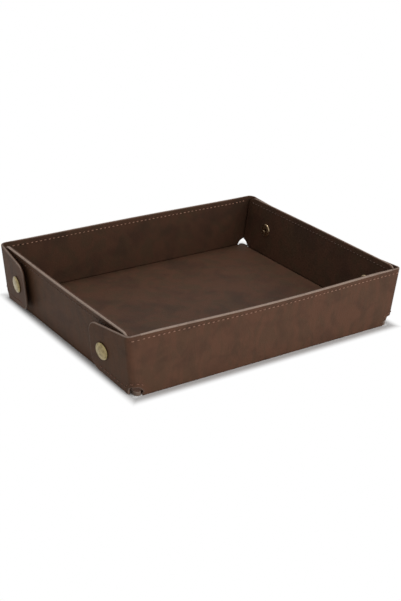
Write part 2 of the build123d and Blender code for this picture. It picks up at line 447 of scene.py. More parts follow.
@dataclass(frozen=True, kw_only=True)
class TwistedThread(Finish):
    """Waxed sewing thread whose plies run slantwise round it, after the stitch's own UV map."""

    light: Colour
    dark: Colour
    plies: float = 5.0
    ply_slant: float = 35.0
    ply_warp: float = 1.2
    ply_share: float = 0.45
    soil: Pattern = Pattern(260.0, low=0.5, high=0.8, share=0.35)
    rough_spread: float = 0.15
    relief: float = 0.06 * MM

    def draw(self, graph: Graph) -> None:
        """Draw the plies.

        Args:
            graph: The empty tree of the material.
        """
        map_place = graph.add("ShaderNodeTexCoord", out="UV")
        turn = (0.0, 0.0, radians(self.ply_slant))
        slant = graph.add("ShaderNodeMapping", {}, {"Vector": map_place, "Rotation": turn})
        wave = {"Vector": slant, "Scale": self.plies, "Distortion": self.ply_warp}
        plies = graph.add("ShaderNodeTexWave", {}, wave)
        soil = graph.noise(self.soil)
        share = plies * self.ply_share + self.soil.shown(soil)
        self.close(graph, graph.mix(share, self.light, self.dark), soil, plies)


@dataclass(frozen=True, kw_only=True)
class PaintedHoleShade(Finish):
    """Painted shade in an awl hole: dark leather colour that stands in for the shadow at its bottom."""

    dark: Colour
    rim: Colour
    grain: Pattern = Pattern(2500.0, low=0.45, high=0.75)
    rough: float = 0.7
    gloss: float = 0.15

    def draw(self, graph: Graph) -> None:
        """Draw dark leather with a little unevenness."""
        grain = graph.noise(self.grain)
        self.close(graph, graph.mix(self.grain.shown(grain), self.dark, self.rim), grain, grain)


@dataclass(frozen=True, kw_only=True)
class AgedMetal(Finish):
    """Plated metal with tarnish clouds, fine scuffs and small pits."""

    bright: Colour
    tarnish: Colour
    clouds: Pattern = Pattern(420.0, detail=4.0, warp=0.6, low=0.42, high=0.68, share=0.7)
    scuffs: Pattern = Pattern(2600.0, stretch=(1.0, 1.0, 0.12))
    tarnish_wear_share: float = 0.75
    pit_share: float = 0.5
    rough_spread: float = 0.16
    gloss: float = 0.5
    metallic: float = 1.0
    relief: float = 0.05 * MM
    relief_share: float = 0.6

    def draw(self, graph: Graph) -> None:
        """Draw the tarnish, scuffs and pits.

        Args:
            graph: The empty tree of the material.
        """
        clouds = graph.noise(self.clouds)
        scuffs = graph.noise(self.scuffs)
        share = self.clouds.shown(clouds)
        colour = graph.mix(share, self.bright, self.tarnish)
        wear = scuffs + share * self.tarnish_wear_share
        self.close(graph, colour, wear, (scuffs + clouds) * self.pit_share)


@dataclass(frozen=True, kw_only=True)
class StudioFloor(Finish):
    """A pale matt floor that turns plain white a little way from the tray, for the rays that show a
    background: painted light that wipes out the tray's cast shadow beyond a narrow band round it.
    """

    pale: Colour
    grain: Pattern = Pattern(30.0)
    grain_share: float = 0.02
    tray_half: tuple[float, float] = (120.0 * MM, 100.0 * MM)
    # The painted white light starts this far from the tray's footprint and is full at the far distance, so
    # the shadow stops there.
    near: float = 4.0 * MM
    far: float = 13.0 * MM
    rough: float = 0.9
    gloss: float = 0.1

    def draw(self, graph: Graph) -> None:
        """Draw the floor, and paint white light over it away from the tray for the rays that show a
        background, which cuts the tray's shadow short.

        Args:
            graph: The empty tree of the material.
        """
        place = graph.spot()
        past = [abs(graph.part(place, axis)) - half for axis, half in zip("XY", self.tray_half)]
        # Painted light: white emission that grows with distance from the tray's footprint and wipes out its
        # cast shadow.
        painted_light_share = graph.sum("MAXIMUM", *past).between(self.near, self.far)
        matt = graph.add("ShaderNodeBsdfPrincipled", {}, {
            "Base Color": graph.mix(graph.noise(self.grain) * self.grain_share, self.pale, WHITE),
            "Roughness": self.rough,
            "Specular IOR Level": self.gloss,
        })
        white = graph.add("ShaderNodeEmission", {}, {"Color": WHITE, "Strength": 1.0})
        both = graph.add("ShaderNodeMixShader", {}, {0: graph.background() * painted_light_share, 1: matt, 2: white})
        graph.add("ShaderNodeOutputMaterial", {}, {"Surface": both}, None)


HIDE = MottledLeather(
    name="outer_hide",
    tone=srgb(85, 57, 42),
    patch=srgb(71, 53, 38),
    cloud=srgb(55, 38, 28),
    # A darker, less red copy of the tone for the end walls: partly a real tone, partly painted shade.
    shaded_end_tone=srgb(82, 56, 39),
    shaded_end_patch=srgb(70, 52, 36),
    patches=Pattern(130.0, detail=5.0, warp=0.7, stretch=(1.0, 1.0, 0.32), low=0.43, high=0.62, share=0.52),
    clouds=Pattern(58.5, warp=0.4, low=0.42, high=0.72, share=0.44),
)
LINING = MottledLeather(
    name="lining_hide",
    tone=srgb(75, 50, 36),
    patch=srgb(63, 49, 34),
    cloud=srgb(46, 31, 24),
    shaded_end_tone=srgb(75, 50, 36),
    shaded_end_patch=srgb(63, 49, 34),
    patches=Pattern(85.0, detail=5.0, warp=0.7, stretch=(1.0, 1.0, 0.8), low=0.43, high=0.62, share=0.55),
    clouds=Pattern(38.25, warp=0.4, low=0.42, high=0.72, share=0.46),
)
PAINT = EdgePaint(name="edge_paint", paint=srgb(134, 115, 102), rubbed=srgb(108, 89, 77))
# A darker copy of the edge paint for the tab and base-corner edges: painted shade.
SHADED_TAB_PAINT = EdgePaint(name="tab_edge_paint", paint=srgb(108, 89, 77), rubbed=srgb(88, 71, 61))
THREAD = TwistedThread(name="tan_thread", light=srgb(160, 121, 101), dark=srgb(120, 87, 72))
RED_THREAD = TwistedThread(name="russet_thread", light=srgb(130, 90, 72), dark=srgb(94, 64, 52))
# A darker copy of the tan thread for the end walls' rows: painted shade.
SHADED_THREAD = TwistedThread(name="brown_thread", light=srgb(96, 74, 62), dark=srgb(70, 52, 43))
# The dark colour of the awl holes is painted shade.
AWL_HOLE_SHADE = PaintedHoleShade(name="awl_hole", dark=srgb(34, 24, 20), rim=srgb(48, 34, 28))
BRASS = AgedMetal(name="aged_brass", bright=srgb(150, 135, 96), tarnish=srgb(106, 92, 62), rough=0.22)
DARK_BRASS = AgedMetal(name="dark_brass", bright=srgb(176, 156, 126), tarnish=srgb(112, 94, 73), rough=0.2)
STEEL = AgedMetal(name="spring_steel", bright=srgb(190, 190, 188), tarnish=srgb(140, 138, 134), rough=0.28)
FLOOR = StudioFloor(name="pale_floor", pale=(0.8, 0.8, 0.8, 1.0))


class Lay(Protocol):
    """A way of laying a flat piece into the tray."""

    def place(self, flat: Vector) -> Vector:
        """Give the place in the tray of a point of the flat piece."""


class Bench:
    """Modelling moves, made with Blender's own operators."""

    @staticmethod
    def pick(*pieces: Piece) -> None:
        """Select only these pieces and make the first of them active.

        Args:
            *pieces: The pieces.
        """
        bpy.ops.object.select_all(action="DESELECT")
        for piece in pieces:
            piece.select_set(True)
        bpy.context.view_layer.objects.active = pieces[0]

    @staticmethod
    @contextmanager
    def editing(piece: Piece, kind: str) -> Iterator[None]:
        """Hold a piece in edit mode with all of it selected.

        Args:
            piece: The piece to edit.
            kind: VERT, EDGE or FACE, what is selected.

        Yields:
            Nothing, while the piece is held.
        """
        Bench.pick(piece)
        bpy.ops.object.mode_set(mode="EDIT")
        bpy.ops.mesh.select_mode(type=kind)
        bpy.ops.mesh.select_all(action="SELECT")
        yield
        bpy.ops.object.mode_set(mode="OBJECT")

    @staticmethod
    def choose(piece: Piece, what: str, test: Callable[[Any], bool]) -> None:
        """Select the edges or faces of a piece in edit mode that pass a test.

        Args:
            piece: The piece, in edit mode.
            what: "edges" or "faces".
            test: The test, given one edge or face.
        """
        bpy.ops.mesh.select_all(action="DESELECT")
        shape = bmesh.from_edit_mesh(piece.data)
        for part in getattr(shape, what):
            if test(part):
                part.select_set(True)
        bmesh.update_edit_mesh(piece.data)

    @staticmethod
    def rename(piece: Piece, name: str) -> Piece:
        """Name a piece and its mesh.

        Args:
            piece: The piece.
            name: Its name.

        Returns:
            The piece.
        """
        piece.name = name
        piece.data.name = name
        return piece

    @classmethod
    def rod(cls, name: str, vertices: int, radius: float, depth: float, **place: Any) -> Piece:
        """Add a round rod, with its place in its mesh.

        Args:
            name: The name of the new piece.
            vertices: The number of its flat sides.
            radius: Its radius.
            depth: Its length.
            **place: Its location and rotation.

        Returns:
            The rod.
        """
        bpy.ops.object.select_all(action="DESELECT")
        bpy.ops.mesh.primitive_cylinder_add(vertices=vertices, radius=radius, depth=depth, **place)
        bpy.ops.object.transform_apply(location=True, rotation=True, scale=True)
        return cls.rename(bpy.context.object, name)

    @classmethod
    def chain(cls, name: str, points: Sequence[Vector]) -> Piece:
        """Draw a line of edges, extruded from point to point.

        Args:
            name: The name of the new piece.
            points: The points in order.

        Returns:
            The piece, a chain of edges.
        """
        bpy.ops.object.select_all(action="DESELECT")
        bpy.ops.mesh.primitive_plane_add(size=MM)
        piece = cls.rename(bpy.context.object, name)
        with cls.editing(piece, "VERT"):
            bpy.ops.mesh.merge(type="CENTER")
            bpy.ops.transform.translate(value=points[0])
            for here, there in zip(points, points[1:]):
                bpy.ops.mesh.extrude_vertices_move(TRANSFORM_OT_translate={"value": there - here})
        return piece

    @classmethod
    def cut_out(cls, name: str, outline: Sequence[Point], thickness: float) -> Piece:
        """Cut a flat piece out of sheet, its outer face up at height zero.

        Args:
            name: The name of the new piece.
            outline: The cut, anticlockwise.
            thickness: The thickness of the sheet.

        Returns:
            The closed flat piece.
        """
        piece = cls.chain(name, [Vector((x, y, 0.0)) for x, y in outline])
        with cls.editing(piece, "VERT"):
            bpy.ops.mesh.edge_face_add()
        if piece.data.polygons[0].normal.z < 0:
            with cls.editing(piece, "FACE"):
                bpy.ops.mesh.flip_normals()
        cls.modify(piece, "SOLIDIFY", thickness=thickness, offset=-1.0)
        return piece

    @classmethod
    def modify(cls, piece: Piece, kind: str, **settings: Any) -> None:
        """Add a modifier and apply it.

        Args:
            piece: The piece.
            kind: The type of the modifier.
            **settings: Its settings.
        """
        cls.pick(piece)
        bpy.ops.object.modifier_add(type=kind)
        modifier = piece.modifiers[-1]
        for key, value in settings.items():
            setattr(modifier, key, value)
        bpy.ops.object.modifier_apply(modifier=modifier.name)

    @classmethod
    def round_rim(
        cls, piece: Piece, level: float, width: float, keep: Callable[[Vector, Vector], bool]
    ) -> None:
        """Round the rim of one face of a flat piece.

        Args:
            piece: The flat piece.
            level: The height of the face.
            width: How far the rounding reaches.
            keep: Says, from an edge's middle and direction, whether that edge is rounded.
        """

        def on_rim(edge: bmesh.types.BMEdge) -> bool:
            """Say whether an edge is on the rim and is to be rounded.

            Args:
                edge: The edge.

            Returns:
                Whether it is.
            """
            first, second = (vertex.co for vertex in edge.verts)
            off_level = max(abs(first.z - level), abs(second.z - level)) > TOUCH
            return not off_level and keep((first + second) / 2, (second - first).normalized())

        with cls.editing(piece, "EDGE"):
            cls.choose(piece, "edges", on_rim)
            bpy.ops.mesh.bevel(offset=width, segments=RIM_FACETS, clamp_overlap=False)

    @staticmethod
    def face_with(piece: Piece, outer: Finish, edge: Finish, inner: Finish, painted: float = inf) -> None:
        """Give a flat piece its finishes.

        Args:
            piece: The flat piece.
            outer: The finish of its outer face.
            edge: The finish of its cut edges.
            inner: The finish of its inner face, and of the edges below the paint.
            painted: How far down from the outer face the edges are painted.
        """
        for finish in (outer, edge, inner):
            piece.data.materials.append(finish.material())
        for face in piece.data.polygons:
            face.material_index = Side.EDGE
            if face.normal.z > FACING_SHARE:
                face.material_index = Side.OUTER
            elif face.normal.z < -FACING_SHARE or face.center.z < -painted:
                face.material_index = Side.INNER

    @staticmethod
    def line_edges(piece: Piece, test: Callable[[Vector], bool]) -> None:
        """Give painted edges the inner face's finish instead.

        Args:
            piece: The flat piece.
            test: Says, from the middle of a face of the edges, whether it is changed.
        """
        for face in piece.data.polygons:
            if face.material_index == Side.EDGE and test(face.center):
                face.material_index = Side.INNER

    @classmethod
    def score(cls, piece: Piece, axis: Sequence[float], stations: Sequence[float]) -> None:
        """Cut a piece through at each station along an axis, so that it can follow a curve.

        Args:
            piece: The piece.
            axis: The direction of the axis.
            stations: The distances along it.
        """
        direction = Vector(axis)
        with cls.editing(piece, "VERT"):
            for station in stations:
                bpy.ops.mesh.select_all(action="SELECT")
                bpy.ops.mesh.bisect(plane_co=direction * station, plane_no=direction)

    @classmethod
    def drill(cls, piece: Piece, spots: Sequence[Point], radius: float, reach: float, facets: int) -> None:
        """Drill round holes through a flat piece.

        Args:
            piece: The flat piece.
            spots: The middles of the holes.
            radius: The radius of the holes.
            reach: How far the drill goes each way.
            facets: The number of flat sides of a hole.
        """
        for x, y in spots:
            bit = cls.rod("drill_bit", facets, radius, 2 * reach, location=(x, y, 0.0))
            cls.modify(piece, "BOOLEAN", operation="DIFFERENCE", object=bit, solver="EXACT")
            bpy.data.objects.remove(bit)

    @classmethod
    def turn(cls, name: str, profile: Sequence[Point], steps: int) -> Piece:
        """Turn a profile round the Z axis.

        Args:
            name: The name of the new piece.
            profile: Radius and height of each point, a closed section or one that ends on the axis.
            steps: Facets in a full turn.

        Returns:
            The closed turned piece.
        """
        piece = cls.chain(name, [Vector((radius, 0.0, height)) for radius, height in profile])
        with cls.editing(piece, "VERT"):
            bpy.ops.mesh.spin(steps=steps, angle=2 * pi, center=(0, 0, 0), axis=UP)
            bpy.ops.mesh.select_all(action="SELECT")
            bpy.ops.mesh.remove_doubles(threshold=TOUCH)
            bpy.ops.mesh.normals_make_consistent(inside=False)
        return piece

    @classmethod
    def copy(cls, master: Piece, name: str) -> Piece:
        """Copy a piece with a mesh of its own.

        Args:
            master: The piece to copy.
            name: The name of the copy.

        Returns:
            The copy.
        """
        cls.pick(master)
        bpy.ops.object.duplicate(linked=False)
        return cls.rename(bpy.context.object, name)

    @classmethod
    def set_at(cls, piece: Piece, seat: Matrix) -> None:
        """Move a piece to its seat and put that place into its mesh.

        Args:
            piece: The piece.
            seat: The place and the turn of its seat.
        """
        piece.matrix_world = seat
        cls.pick(piece)
        bpy.ops.object.transform_apply(location=True, rotation=True, scale=True)

    @classmethod
    def lay(cls, piece: Piece, lay: Lay, angle: float = SMOOTH_ANGLE) -> None:
        """Lay a flat piece into the tray, its faces outwards, and shade it smooth.

        Args:
            piece: The flat piece.
            lay: How it is laid.
            angle: Edges sharper than this, in degrees, stay sharp.
        """
        for vertex in piece.data.vertices:
            vertex.co = lay.place(vertex.co)
        with cls.editing(piece, "FACE"):
            bpy.ops.mesh.normals_make_consistent(inside=False)
        cls.smooth(piece, angle)

    @classmethod
    def smooth(cls, piece: Piece, angle: float) -> None:
        """Shade a piece smooth up to an angle, with flat faces kept flat beside rounded edges.

        Args:
            piece: The piece.
            angle: Edges sharper than this, in degrees, stay sharp.
        """
        cls.pick(piece)
        bpy.ops.object.shade_smooth_by_angle(angle=radians(angle))
        cls.modify(piece, "WEIGHTED_NORMAL", keep_sharp=True)

    @classmethod
    def fit_leather(cls, flat: Piece, name: str, lay: Lay, nodes: Sequence[str]) -> Piece:
        """Copy a flat leather piece and lay it in place of nodes of the frame.

        Args:
            flat: The flat piece.
            name: The name of the copy.
            lay: How it is laid.
            nodes: The nodes that it replaces.

        Returns:
            The copy, in its place.
        """
        piece = cls.copy(flat, name)
        cls.lay(piece, lay)
        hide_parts(*nodes)
        return piece

    @staticmethod
    def put_away(*masters: Piece) -> None:
        """Remove the masters that copies were made from."""
        for master in masters:
            bpy.data.objects.remove(master)


def arc(centre: Point, radius: float, start: float, stop: float, steps: int) -> list[Point]:
    """Give the points of an arc.

    Args:
        centre: Its middle.
        radius: Its radius.
        start: The angle of its first point.
        stop: The angle of its last point.
        steps: The number of runs between them.

    Returns:
        The points, both ends included.
    """
    angles = [start + (stop - start) * step / steps for step in range(steps + 1)]
    return [(centre[0] + radius * cos(angle), centre[1] + radius * sin(angle)) for angle in angles]


def fillet(before: Point, corner: Point, after: Point, radius: float, steps: int) -> list[Point]:
    """Round a corner of an outline.

    Args:
        before: The point before the corner.
        corner: The corner.
        after: The point after it.
        radius: The radius of the rounding.
        steps: The number of runs round it.

    Returns:
        The points that take the corner's place.
    """
    here = Vector(corner)
    back = (Vector(before) - here).normalized()
    ahead = (Vector(after) - here).normalized()
    half = back.angle(ahead) / 2
    middle = here + (back + ahead).normalized() * radius / sin(half)
    first = here + back * radius / tan(half)
    last = here + ahead * radius / tan(half)
    start = atan2(first.y - middle.y, first.x - middle.x)
    sweep = (atan2(last.y - middle.y, last.x - middle.x) - start + pi) % (2 * pi) - pi
    return arc((middle.x, middle.y), radius, start, start + sweep, steps)


def spaced(start: float, stop: float, step: float) -> list[float]:
    """Give evenly spaced stations inside a span, about a step apart."""
    count = max(round((stop - start) / step), 1)
    return [start + (stop - start) * place / count for place in range(1, count)]


@dataclass(frozen=True)
class TrayMeasures:
    """Places and sizes of the tray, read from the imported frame."""

    crease_x: float
    crease_y: float
    crease_z: float
    hinge_x: float
    hinge_y: float
    outer_y: float
    top: float
    flare: float
    end_half: float
    notch: float
    tilt: float
    snap_y: float
    snap_height: float = 26.0 * MM
    snap_gap: float = 3.4 * MM
    bend: float = 3.0 * MM
    tab_reach: float = 47.3 * MM
    seam: float = 9.2 * MM

    @classmethod
    def read(cls, packed: dict[str, Any]) -> "TrayMeasures":
        """Read the measures from the joints and the boxes of the nodes.


        Returns:
            The measures.
        """
        joints = {joint["name"]: joint for joint in packed["joints"]}
        swing = joints["back_right_tab_swing"]
        crease_x, _, crease_z = joints["right_fold"]["pos_m"]
        hinge_x, hinge_y, _ = swing["pos_m"]
        eyelet_low, eyelet_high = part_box("back_right_snap_eyelet")
        _, skin_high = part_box("back_wall_skin")
        notch_foot = hinge_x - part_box("back_crease")[1].x
        return cls(
            crease_x=crease_x,
            crease_y=joints["back_fold"]["pos_m"][1],
            crease_z=crease_z,
            hinge_x=hinge_x,
            hinge_y=hinge_y,
            outer_y=skin_high.y,
            top=skin_high.z,
            flare=atan2(swing["axis"][0], swing["axis"][2]),
            end_half=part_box("right_wall_skin")[1].y,
            notch=hypot(notch_foot, crease_z),
            tilt=radians(90.0 - swing["range_deg"][1]),
            snap_y=(eyelet_low.y + eyelet_high.y) / 2,
        )

    @property
    def wall(self) -> float:
        """Thickness of the walls and the base."""
        return self.outer_y - self.crease_y

    @property
    def tab(self) -> float:
        """Thickness of the corner tabs."""
        return self.outer_y - self.hinge_y

    @property
    def notch_foot(self) -> float:
        """Half the width of a notch at the height of the creases."""
        return sqrt(self.notch**2 - self.crease_z**2)

    @property
    def notch_start(self) -> float:
        """Angle at which a notch leaves a crease, about the point of the floor below it."""
        return pi - asin(self.crease_z / self.notch)

    @property
    def bend_turn(self) -> float:
        """Angle through which the leather turns at a corner."""
        return pi / 2 - self.tilt

    @property
    def bend_run(self) -> float:
        """Distance of either end of a bend from the line on which the tab swings."""
        return self.bend * tan(self.bend_turn / 2)

    @property
    def bend_length(self) -> float:
        """Length of a bend along the middle of the leather."""
        return (self.bend + self.tab / 2) * self.bend_turn

    @property
    def slope(self) -> float:
        """Length of an end wall from its crease to its top edge."""
        return (self.top - self.crease_z) / cos(self.flare)

    @property
    def snap_rise(self) -> float:
        """Distance of the snaps from the crease, up the slope of an end wall."""
        return (self.snap_height - self.crease_z + self.wall * sin(self.flare)) / cos(self.flare)

    def outward(self, end: End) -> Vector:
        """Direction square out of an end wall."""
        return Vector((end.value * cos(self.flare), 0.0, -sin(self.flare)))

    def uphill(self, end: End) -> Vector:
        """Direction up the slope of an end wall."""
        return Vector((end.value * sin(self.flare), 0.0, cos(self.flare)))

    def off_tab(self, long: Long, end: End) -> Vector:
        """Direction square out of a corner tab."""
        return Vector((0.0, long.value * sin(self.tilt), 0.0)) + self.outward(end) * cos(self.tilt)

    def foot(self, long: Long, end: End) -> Vector:
        """The point of a corner's hinge line at floor height."""
        return Vector((end.value * self.hinge_x, long.value * self.hinge_y, 0.0))

    def snap_seat(self, long: Long, end: End) -> Vector:
        """The middle of a snap on the outer face of an end wall."""
        crease = Vector((end.value * self.crease_x, long.value * self.snap_y, self.crease_z))
        return crease + self.uphill(end) * self.snap_rise + self.outward(end) * self.wall

    def cap_seat(self, long: Long, end: End) -> Vector:
        """The middle of a snap on the outer face of a tab."""
        inner = self.snap_seat(long, end) + self.outward(end) * self.snap_gap
        return inner + self.off_tab(long, end) * self.tab


@dataclass(frozen=True)
class WallLay:
    """Sets a panel upright from its crease, with a bow and thinner ends."""

    crease: Vector
    across: Vector
    up: Vector
    out: Vector
    height: float
    bow_half: float
    bow: float
    bow_power: float = 1.25
    thin_from: float = inf
    thin_over: float = 1.0
    thin_to: float = 1.0
    lean: float = 0.0

    def place(self, flat: Vector) -> Vector:
        """Give the place in the tray of a point of the flat panel.

        Args:
            flat: The point.

        Returns:
            Its place.
        """
        crown = max(0.0, 1.0 - (flat.x / self.bow_half) ** 2) ** 2
        lift = self.bow * crown * max(0.0, flat.y / self.height) ** self.bow_power
        reach = abs(flat.x) - self.lean * flat.y - self.thin_from
        thin = 1.0 + (self.thin_to - 1.0) * ease(reach / self.thin_over)
        depth = flat.z * thin if flat.z < 0 else flat.z
        return self.crease + self.across * flat.x + self.up * flat.y + self.out * (depth + lift)


@dataclass(frozen=True)
class FloorLay:
    """Sets a panel down with its outer face on the floor."""

    def place(self, flat: Vector) -> Vector:
        """Give the place in the tray of a point of the flat panel."""
        return Vector((flat.x, -flat.y, -flat.z))


@dataclass(frozen=True)
class CreaseLay:
    """Folds a strip round under a wall: flat below the base, round a tight corner and up the wall's foot."""

    crease: Vector
    along: Vector
    out: Vector
    depth: float
    radius: float
    sweep: float

    @property
    def flat_run(self) -> float:
        """Length of the straight run on each side of the corner."""
        return (self.depth - self.radius) * tan(self.sweep / 2)

    @property
    def turn_run(self) -> float:
        """Length of the corner along the outer face."""
        return self.radius * self.sweep

    @property
    def width(self) -> float:
        """Width of the strip along its outer face."""
        return 2 * self.flat_run + self.turn_run

    def place(self, flat: Vector) -> Vector:
        """Give the place in the tray of a point of the flat strip.

        Args:
            flat: The point.

        Returns:
            Its place.
        """
        past = flat.y - self.flat_run
        angle = min(max(past / self.radius, 0.0), self.sweep)
        spoke = self.out * sin(angle) - UP * cos(angle)
        step = self.out * cos(angle) + UP * sin(angle)
        middle = self.crease + self.out * self.flat_run - UP * (self.depth - self.radius)
        straight = min(past, 0.0) + max(past - self.turn_run, 0.0)
        return middle + self.along * flat.x + spoke * (self.radius + flat.z) + step * straight


@dataclass(frozen=True)
class CornerLay:
    """Wraps a strip round a corner, from a long wall to its tab, which leans away from the end wall."""

    measures: TrayMeasures
    long: Long
    end: End

    @property
    def along(self) -> Vector:
        """Direction from the long wall along the end wall."""
        return Vector((0.0, -self.long.value, 0.0))

    def place(self, flat: Vector) -> Vector:
        """Give the place in the tray of a point of the flat strip.

        Args:
            flat: The point.

        Returns:
            Its place.
        """
        m = self.measures
        radius = m.bend + m.tab + flat.z
        turn = min(max(flat.x / m.bend_length, 0.0), 1.0) * m.bend_turn
        straight = min(flat.x, 0.0) + max(flat.x - m.bend_length, 0.0)
        out = m.outward(self.end) * (radius * sin(turn) + straight * cos(turn) - m.bend_run)
        ahead = self.along * (m.bend - radius * cos(turn) + straight * sin(turn))
        return m.foot(self.long, self.end) + out + m.uphill(self.end) * flat.y + ahead


@dataclass(frozen=True)
class RowLay:
    """Lays a straight row of stitches along a path on a face of a flat piece, and that piece in the tray."""

    path: tuple[Point, ...]
    face: float
    under: Lay

    def place(self, flat: Vector) -> Vector:
        """Give the place in the tray of a point of the straight row.

        Args:
            flat: The point.

        Returns:
            Its place.
        """
        left = flat.x
        for here, there in zip(self.path, self.path[1:]):
            run = hypot(there[0] - here[0], there[1] - here[1])
            if left <= run or there == self.path[-1]:
                break
            left -= run
        step = Vector((there[0] - here[0], there[1] - here[1])) / run
        side = 1.0 if self.face == 0.0 else -1.0
        across = Vector((-step.y, step.x)) * side
        spot = Vector(here) + step * left + across * flat.y
        return self.under.place(Vector((spot.x, spot.y, self.face + side * flat.z)))


@dataclass
class Stitching:
    """Rows of sewing: one stitch and its awl hole, copied along each row.

    The taper shares are the run, the drop and the size of each step in which a stitch's ends dive.
    """

    pitch: float = 4.2 * MM
    length: float = 2.0 * MM
    straight_share: float = 0.5
    taper_shares: tuple[tuple[float, float, float], ...] = ((0.15, 0.35, 0.86), (0.1, 0.75, 0.6))
    thickness: float = 0.75 * MM
    proud_share: float = 0.45
    facets: int = 6
    slant: float = 5.0
    smooth_angle: float = 70.0
    hole: float = 0.6 * MM
    hole_depth: float = 0.3 * MM
    hole_sink: float = 0.12 * MM
    hole_rim_share: float = 0.4
    hole_hollow: float = 0.1 * MM
    hole_facets: int = 8
    masters: dict[str, Piece] = field(default_factory=dict)

    def thread_loop(self, thread: Finish) -> Piece:
        """Model the thread of one stitch, which dives into the leather at both ends.

        Args:
            thread: The finish of the thread.

        Returns:
            The thread, lying along X with the leather's face at height zero.
        """
        radius = self.thickness / 2
        piece = Bench.rod(
            named("stitch", thread.name),
            self.facets,
            radius,
            self.length * self.straight_share,
            rotation=(0.0, pi / 2, 0.0),
            location=UP * radius * self.proud_share,
        )
        with Bench.editing(piece, "FACE"):
            for side in (-1, 1):
                Bench.choose(piece, "faces", lambda face, side=side: face.normal.x * side > FACING_SHARE)
                for run, drop, share in self.taper_shares:
                    move = (side * self.length * run, 0.0, -radius * drop)
                    bpy.ops.mesh.extrude_region_move(TRANSFORM_OT_translate={"value": move})
                    bpy.ops.transform.resize(value=(1.0, share, share))
        piece.data.materials.append(thread.material())
        return piece

    def awl_mark(self) -> Piece:
        """Model the hollow mark of an awl hole, coloured dark as painted shade.

        Returns:
            The mark, in its place after a stitch.
        """
        place = (self.pitch / 2, 0.0, -self.hole_sink)
        mark = Bench.rod("awl_mark", self.hole_facets, self.hole, self.hole_depth, location=place)
        with Bench.editing(mark, "FACE"):
            Bench.choose(mark, "faces", lambda face: face.normal.z > FACING_SHARE)
            bpy.ops.mesh.inset(thickness=self.hole * self.hole_rim_share, depth=-self.hole_hollow)
        # The mark's dark finish is painted shade in the hole.
        mark.data.materials.append(AWL_HOLE_SHADE.material())
        return mark

    def stitch(self, thread: Finish) -> Piece:
        """Give the master stitch of a thread with its awl hole, made when it is first asked for.

        Args:
            thread: The finish of the thread.

        Returns:
            The master.
        """
        if thread.name not in self.masters:
            piece = self.thread_loop(thread)
            Bench.pick(piece, self.awl_mark())
            bpy.ops.object.join()
            Bench.set_at(piece, Matrix.Rotation(radians(self.slant), 4, "Z"))
            self.masters[thread.name] = piece
        return self.masters[thread.name]

    def row(
        self, name: str, thread: Finish, path: Sequence[Point], face: float, under: Lay, slot: Slot
    ) -> Piece:
        """Sew a row of stitches.

        Args:
            name: The name of the row.
            thread: The finish of the thread.
            path: The line of the row on the flat piece.
            face: The height of the face that is sewn, zero for the outer one.
            under: How the flat piece is laid.
            slot: The material slot of the leather that it is sewn on; not used.

        Returns:
            The row, in its place.
        """
        length = sum(hypot(b[0] - a[0], b[1] - a[1]) for a, b in zip(path, path[1:]))
        count = max(round(length / self.pitch), 1)
        step = length / count
        piece = Bench.copy(self.stitch(thread), name)
        Bench.set_at(piece, Matrix.Translation((step / 2, 0.0, 0.0)))
        Bench.modify(
            piece,
            "ARRAY",
            count=count,
            use_relative_offset=False,
            use_constant_offset=True,
            constant_offset_displace=(step, 0.0, 0.0),
        )
        Bench.lay(piece, RowLay(tuple(path), face, under), self.smooth_angle)
        LOG.info("%s: %d stitches", name, count)
        return piece

    def put_away(self) -> None:
        """Remove the master stitches."""
        Bench.put_away(*self.masters.values())


